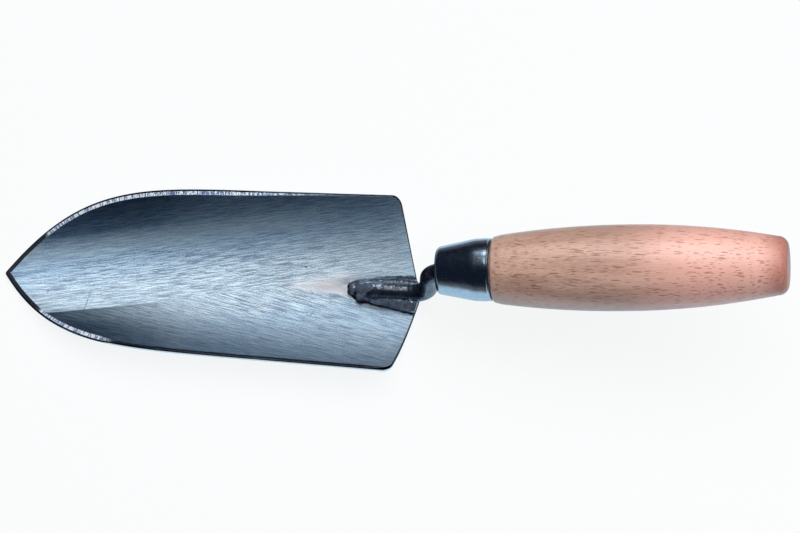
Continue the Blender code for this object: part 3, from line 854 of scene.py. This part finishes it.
bead = Finish("weld_metal")
weld_place = bead.on_piece()
lumps = bead.mottle(weld_place, 520.0, 2.0)
skin = bead.mottle(weld_place, 2200.0, 2.0)
weld_colour = bead.blend(bead.share(lumps, 0.32, 0.70), WELD_DARK, WELD_LIGHT)
rise = bead.add("ShaderNodeAttribute", attribute_name="above_sheet").outputs["Fac"]
# Painted shade darkens the weld where it is low over the sheet, at its toes, and over its far side.
far_side = bead.share(bead.numbers(weld_place)[1], *PAINTED_SHADE_SIDE)
painted_shade = bead.sum("MAXIMUM", bead.share(rise, *PAINTED_SHADE_RISE), bead.product(far_side, SIDE_SHARE))
bead.set(Base_Color=bead.blend(painted_shade, weld_colour, WELD_PAINTED_SHADE), Metallic=0.80, Coat_Weight=0.70,
         Coat_Roughness=0.08, Roughness=bead.scaled(skin, 0.12, 0.19))
bead.bump(bead.scaled(skin, 0.06, lumps), strength=0.42, distance=0.00036)
weld_mesh.materials.clear()
weld_mesh.materials.append(bead.material)
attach(weld_piece, "root")
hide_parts("weld_bead")

# Ferrule
# A cap spun from steel sheet and plated bright, with a rounded lip at its mouth.
# It is pressed over the turned-down nose of the handle and stops the wood from splitting.

FERRULE_LENGTH = 0.0219
FERRULE_TAPER_LENGTH = 0.0150
FERRULE_REAR_RADIUS = 0.0122
FERRULE_LIP_RADIUS = 0.0022
FERRULE_LIP_START = -72.0
LIP_TURN_IN = 0.0002
LIP_TURN_LENGTH = 0.0005
FERRULE_SWELL = 0.00022
MOUTH_SWELL = 0.00100
FERRULE_KNEE_RADIUS = 0.0180
FERRULE_REAR_ROUNDING = 0.00055
REAR_GROOVE = 0.00022
GROOVE_RINGS = (0.0016, 0.0008, 0.0003, 0.0)
REAR_TAPER = 1.0
TURNED_SIDES = 128
ARC_STEPS = 8


def arc(centre_radius, centre_along, radius, start, stop, steps=ARC_STEPS):
    """Points of a rounding on a profile of (radius, along), by angles from the outward radius."""
    angles = [math.radians(start + (stop - start) * step / steps) for step in range(steps + 1)]
    return [(centre_radius + radius * math.cos(angle), centre_along + radius * math.sin(angle))
            for angle in angles]


def turned_mesh(name, profile, closed, sharp_angle):
    """A piece turned round the handle line from a profile of (radius, along)."""
    shape = bmesh.new()
    verts = [shape.verts.new((radius, 0.0, along)) for radius, along in profile]
    pairs = list(zip(verts, verts[1:])) + ([(verts[-1], verts[0])] if closed else [])
    edges = [shape.edges.new(pair) for pair in pairs]
    bmesh.ops.spin(shape, geom=verts + edges, axis=(0.0, 0.0, 1.0), cent=(0.0, 0.0, 0.0), steps=TURNED_SIDES,
                   angle=math.tau, use_merge=True)
    bmesh.ops.remove_doubles(shape, verts=shape.verts[:], dist=1e-7)
    bmesh.ops.dissolve_degenerate(shape, edges=shape.edges[:], dist=1e-8)
    bmesh.ops.recalc_face_normals(shape, faces=shape.faces[:])
    laid_down = Matrix.Translation(handle_point(0.0)) @ Matrix.Rotation(math.pi / 2 - HANDLE_RISE, 4, "Y")
    bmesh.ops.transform(shape, matrix=laid_down, verts=shape.verts[:])
    return round_mesh(name, shape, sharp_angle)


taper_slope = math.degrees(math.atan((FERRULE_REAR_RADIUS - FERRULE_MOUTH_RADIUS) / FERRULE_TAPER_LENGTH))
knee_place = FERRULE_FRONT + FERRULE_TAPER_LENGTH
knee_setback = FERRULE_KNEE_RADIUS * math.tan(math.radians(taper_slope) / 2)
rear = FERRULE_FRONT + FERRULE_LENGTH
outer_rear = FERRULE_REAR_RADIUS + FERRULE_SWELL
inner_rear = FERRULE_REAR_RADIUS - FERRULE_WALL
lip_reach = -FERRULE_LIP_RADIUS * math.sin(math.radians(FERRULE_LIP_START))
groove_end = rear - 2 * FERRULE_REAR_ROUNDING
groove_start = groove_end - REAR_GROOVE * 2
rear_fall = (rear - knee_place - knee_setback) * math.tan(math.radians(REAR_TAPER))
ferrule_profile = arc(FERRULE_MOUTH_RADIUS + MOUTH_SWELL - FERRULE_LIP_RADIUS, FERRULE_FRONT + lip_reach,
                      FERRULE_LIP_RADIUS, FERRULE_LIP_START, -taper_slope)
ferrule_profile += arc(outer_rear - FERRULE_KNEE_RADIUS - rear_fall, knee_place + knee_setback,
                       FERRULE_KNEE_RADIUS, -taper_slope, -REAR_TAPER, steps=20)
ferrule_profile += [(outer_rear, groove_start - back) for back in GROOVE_RINGS]
ferrule_profile.append((outer_rear - REAR_GROOVE, groove_end))
ferrule_profile += arc(outer_rear - FERRULE_REAR_ROUNDING, rear - FERRULE_REAR_ROUNDING,
                       FERRULE_REAR_ROUNDING, -50.0, 90.0)
ferrule_profile += [(inner_rear, rear), (inner_rear, knee_place),
                    (mouth_bore, FERRULE_FRONT + FERRULE_LIP_RADIUS),
                    (mouth_bore - LIP_TURN_IN, FERRULE_FRONT + LIP_TURN_LENGTH)]

PLATE_DARK = (0.46, 0.59, 0.72)
PLATE_LIGHT = (0.55, 0.67, 0.79)
SPINNING_SCALE = (3200.0, 60.0, 60.0)

plated = Finish("plated_steel")
plate_place = plated.on_piece()
along_turn = plated.add("ShaderNodeMapping", {"Vector": plate_place, "Rotation": (0.0, HANDLE_RISE, 0.0),
                                              "Scale": SPINNING_SCALE}).outputs[0]
spun_lines = plated.mottle(along_turn, 1.0, 2.0)
haze = plated.mottle(plate_place, 500.0)
specks = plated.share(plated.cells(plate_place, 900.0)["Distance"], 0.10, 0.05)
plated.set(Base_Color=plated.blend(plated.share(haze, 0.3, 0.75), PLATE_DARK, PLATE_LIGHT), Metallic=1.0,
           Roughness=plated.scaled(specks, 0.35, plated.scaled(haze, 0.12, 0.18)))
plated.bump(plated.scaled(spun_lines, 0.5, haze), strength=0.06, distance=0.00010)

ferrule_mesh = turned_mesh("plated_ferrule", ferrule_profile, True, 50.0)
ferrule_piece = new_piece("plated_ferrule", ferrule_mesh, plated.material)
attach(ferrule_piece, "root")
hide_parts("ferrule")

# Handle
# Beech, turned to a barrel and clear lacquered, with a rounded butt and a turned-down nose.
# The nose is pressed into the ferrule, and the tang is driven into a hole along its middle.

HANDLE_LENGTH = 0.1164
HANDLE_SHOULDER_RADIUS = 0.0132
HANDLE_BELLY_RADIUS = 0.0170
HANDLE_BELLY_PLACE = 0.46
HANDLE_BUTT_RADIUS = 0.0108
HANDLE_FRONT_FULLNESS = 2.1
HANDLE_REAR_FULLNESS = 2.0
SHOULDER_ROUNDING = 0.0016
BUTT_ROUNDING = 0.0042
NOSE_LENGTH = 0.0180
BARREL_STEPS = 56
TANG_HOLE = 0.0056
TANG_HOLE_END = 0.0700


def handle_radius(share):
    """Radius of the barrel at a share of its length, from the shoulder to the butt."""
    away = (share - HANDLE_BELLY_PLACE) / (1.0 - HANDLE_BELLY_PLACE)
    end_radius, fullness = HANDLE_BUTT_RADIUS, HANDLE_REAR_FULLNESS
    if share < HANDLE_BELLY_PLACE:
        away = (HANDLE_BELLY_PLACE - share) / HANDLE_BELLY_PLACE
        end_radius, fullness = HANDLE_SHOULDER_RADIUS, HANDLE_FRONT_FULLNESS
    return HANDLE_BELLY_RADIUS - (HANDLE_BELLY_RADIUS - end_radius) * away ** fullness


shoulder = rear + SEAT_GAP
butt = shoulder + HANDLE_LENGTH
nose_end = shoulder - NOSE_LENGTH
nose_swell = (nose_end - FERRULE_FRONT) * math.tan(math.radians(taper_slope))
nose_radius = FERRULE_MOUTH_RADIUS + nose_swell - FERRULE_WALL
handle_profile = [(0.0, TANG_HOLE_END), (TANG_HOLE, TANG_HOLE_END), (TANG_HOLE, nose_end),
                  (nose_radius - SEAT_GAP, nose_end), (inner_rear - SEAT_GAP, knee_place),
                  (inner_rear - SEAT_GAP, shoulder)]
handle_profile += arc(HANDLE_SHOULDER_RADIUS - SHOULDER_ROUNDING, shoulder + SHOULDER_ROUNDING,
                      SHOULDER_ROUNDING, -90.0, 0.0)
rounding_share = 1.0 - BUTT_ROUNDING / HANDLE_LENGTH
first_share = SHOULDER_ROUNDING / HANDLE_LENGTH
for step in range(1, BARREL_STEPS):
    share = first_share + (rounding_share - first_share) * step / BARREL_STEPS
    handle_profile.append((handle_radius(share), shoulder + HANDLE_LENGTH * share))
handle_profile += arc(handle_radius(rounding_share) - BUTT_ROUNDING, butt - BUTT_ROUNDING, BUTT_ROUNDING,
                      0.0, 90.0, steps=12)
handle_profile.append((0.0, butt))

BEECH_LIGHT = (0.52, 0.335, 0.265)
BEECH_DEEP = (0.37, 0.225, 0.170)
# Painted highlight: paler, pinker wood towards the butt.
BEECH_PAINTED_HIGHLIGHT = (0.84, 0.440, 0.375)
BEECH_RED = (0.36, 0.135, 0.098)
FLECK_BROWN = (0.190, 0.066, 0.032)
LACQUER_SHINE = (1.0, 0.64, 0.68)
BROAD_GRAIN = (0.050, 0.0060)
FIBRES = (0.0065, 0.00034)
GRAIN_FIGURE = (0.42, 0.64)
PAINTED_HIGHLIGHT_FROM_BUTT = (0.075, 0.030)
RED_FROM_BUTT = (0.012, 0.001)
FLECK_SIZE = 0.36
FLECK_DEPTH = 0.76
# Kinds of ray: length, width, turn in degrees, shift of the pattern and depth of colour.
FLECK_KINDS = ((0.0080, 0.00076, 3.0, 0.0, 1.0), (0.0058, 0.00062, -3.0, 7.3, 0.85),
               (0.0040, 0.00052, 1.0, 3.1, 0.75))

beech = Finish("lacquered_beech")
wood_place = beech.on_piece()
centre = handle_point(0.0)


def along_grain(length, width, turn=0.0):
    """Place in the wood with the grain along its first number, scaled to a length and a width."""
    moved = beech.vector("SUBTRACT", wood_place, centre)
    turned = beech.add("ShaderNodeMapping", {"Vector": moved, "Rotation": (0.0, HANDLE_RISE, turn)})
    return beech.vector("MULTIPLY", turned.outputs[0], (1.0 / length, 1.0 / width, 1.0 / width))


def flecks(length, width, turn, shift):
    """Short dark rays, each a thin spindle along the grain."""
    shifted = beech.vector("ADD", along_grain(length, width, math.radians(turn)), (shift, shift, shift))
    cells = beech.cells(shifted)
    reach = beech.product(beech.cell_number(cells), FLECK_SIZE)
    return beech.share(beech.sum("SUBTRACT", reach, cells["Distance"]), 0.0, FLECK_SIZE * 0.16)


broad = beech.mottle(along_grain(*BROAD_GRAIN), 1.0)
fibres = beech.mottle(along_grain(*FIBRES), 1.0, 3.0, 0.65)
figure = beech.scaled(fibres, 0.55, beech.product(broad, 0.5))
wood = beech.blend(beech.share(figure, *GRAIN_FIGURE), BEECH_DEEP, BEECH_LIGHT)
from_butt = beech.scaled(beech.numbers(along_grain(1.0, 1.0))[0], -1.0, butt)
# Painted highlight towards the butt: the wood turns paler and pinker, and then redder at the very end.
for (start, stop), strength, colour in ((PAINTED_HIGHLIGHT_FROM_BUTT, 0.60, BEECH_PAINTED_HIGHLIGHT), (RED_FROM_BUTT, 0.85, BEECH_RED)):
    wood = beech.blend(beech.product(beech.share(from_butt, start, stop), strength), wood, colour)
fleck = 0.0
for *kind, depth in FLECK_KINDS:
    fleck = beech.sum("MAXIMUM", fleck, beech.product(flecks(*kind), depth))
beech.set(Base_Color=beech.blend(beech.product(fleck, FLECK_DEPTH), wood, FLECK_BROWN), Coat_Weight=0.88,
          Coat_Roughness=0.36, Coat_IOR=1.7, Specular_IOR_Level=1.0, Specular_Tint=LACQUER_SHINE,
          Roughness=beech.scaled(fibres, 0.16, 0.36))
beech.bump(beech.scaled(fleck, -0.6, fibres), strength=0.14, distance=0.00010)

handle_mesh = turned_mesh("beech_handle", handle_profile, False, 60.0)
handle_piece = new_piece("beech_handle", handle_mesh, beech.material)
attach(handle_piece, "root")
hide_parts("handle")

# Table, lamps and camera
# A white table in a dim room. Two long lamps beyond the trowel draw the bright band on the steel, and
# a wide one overhead lights only the matt surfaces. The camera looks down from a little towards the
# near side, as in the photograph.

TABLE_SIZE = 6.0
TABLE_WHITE = (0.66, 0.68, 0.71)
TABLE_ROUGHNESS = 0.8
TABLE_TINT = (0.985, 1.0, 1.0)
TABLE_OWN_LIGHT = 0.90
TABLE_SEEN = 0.979
POOL_STRETCH = (0.45, 1.0, 1.0)
POOL_NEAR = 0.075
POOL_FAR = 0.110
POOL_LEAST = 0.03
POOL_FULL = 0.88
POOL_COLOUR = (0.67, 0.88, 1.0)
POOL_RIM = (1.0, 0.80, 0.74)
POOL_RIM_EDGE = (0.25, 0.85)
ROOM_COLOUR = (0.009, 0.013, 0.023)
STEEL_LAMPS_AIM = (-0.069, 0.0, 0.0)
COOL_LIGHT = (0.94, 0.98, 1.0)
PLAIN_LIGHT = (1.0, 0.99, 0.98)
CAMERA_LEAN = math.radians(24.0)
CAMERA_ROLL = math.radians(-3.45)
CAMERA_DISTANCE = 1.8
CAMERA_AIM = Vector((0.00227, 0.01122, 0.00599))
CAMERA_LENS = 202.5

ground = bmesh.new()
bmesh.ops.create_grid(ground, x_segments=4, y_segments=4, size=TABLE_SIZE / 2)
table_top = Finish("table_white")
table_top.set(Base_Color=TABLE_WHITE, Roughness=TABLE_ROUGHNESS)
rays = table_top.add("ShaderNodeLightPath").outputs
seen = table_top.sum("MAXIMUM", rays["Is Glossy Ray"], rays["Is Transmission Ray"])
seen = table_top.sum("MAXIMUM", rays["Is Camera Ray"], seen)
# Painted light: for reflected rays the table glows, most in a pool round the trowel, with a warmer rim.
from_trowel = table_top.vector("MULTIPLY", table_top.on_piece(), POOL_STRETCH)
pool = table_top.share(table_top.vector("LENGTH", from_trowel), POOL_FAR, POOL_NEAR)
pool = table_top.scaled(pool, POOL_FULL - POOL_LEAST, POOL_LEAST)
pool_colour = table_top.blend(table_top.share(pool, *POOL_RIM_EDGE), POOL_RIM, POOL_COLOUR)
glow_colour = table_top.blend(rays["Is Camera Ray"], pool_colour, TABLE_TINT)
strength = table_top.either(rays["Is Camera Ray"], pool, TABLE_SEEN)
glow = table_top.add("ShaderNodeEmission", {"Color": glow_colour, "Strength": strength})
mixed = table_top.add("ShaderNodeMixShader", {0: table_top.product(seen, TABLE_OWN_LIGHT),
                                              1: table_top.shader.outputs[0], 2: glow.outputs[0]})
table_top.feed(table_top.tree.nodes["Material Output"].inputs["Surface"], mixed.outputs[0])
table = new_piece("table", finished_mesh("table", ground), table_top.material)

room = bpy.data.worlds.new("room")
room.use_nodes = True
room.node_tree.nodes["Background"].inputs["Color"].default_value = (*ROOM_COLOUR, 1.0)
scene.world = room


def soft_lamp(name, place, aim, width, depth, power, colour, mirrored=True):
    """A rectangular lamp that points at a place; one that isn't mirrored only lights matt surfaces."""
    data = bpy.data.lights.new(name, "AREA")
    data.shape = "RECTANGLE"
    data.size = width
    data.size_y = depth
    data.energy = power
    data.color = colour
    lamp = bpy.data.objects.new(name, data)
    lamp.location = place
    lamp.rotation_euler = (Vector(aim) - Vector(place)).to_track_quat("-Z", "Y").to_euler()
    lamp.visible_glossy = mirrored
    lamp.visible_camera = False
    scene.collection.objects.link(lamp)


soft_lamp("key_lamp", (-0.157, 0.329, 1.65), STEEL_LAMPS_AIM, 0.286, 0.75, 1.95, COOL_LIGHT)
soft_lamp("back_lamp", (-0.164, 1.18, 1.444), STEEL_LAMPS_AIM, 0.488, 0.511, 3.45, COOL_LIGHT)
soft_lamp("ceiling_lamp", (0.50, 0.18, 1.5), (0.0, 0.0, 0.0), 1.9, 1.9, 52.5, PLAIN_LIGHT, mirrored=False)

camera_data = bpy.data.cameras.new("camera")
camera_data.lens = CAMERA_LENS
camera_data.sensor_width = 36.0
camera_data.clip_end = 20.0
camera = bpy.data.objects.new("camera", camera_data)
lean = Matrix.Rotation(CAMERA_LEAN, 4, "X") @ Matrix.Rotation(-CAMERA_ROLL, 4, "Z")
camera.matrix_world = Matrix.Translation(CAMERA_AIM) @ lean @ Matrix.Translation((0.0, 0.0, CAMERA_DISTANCE))
scene.collection.objects.link(camera)
scene.camera = camera
scene.view_settings.view_transform = "Standard"
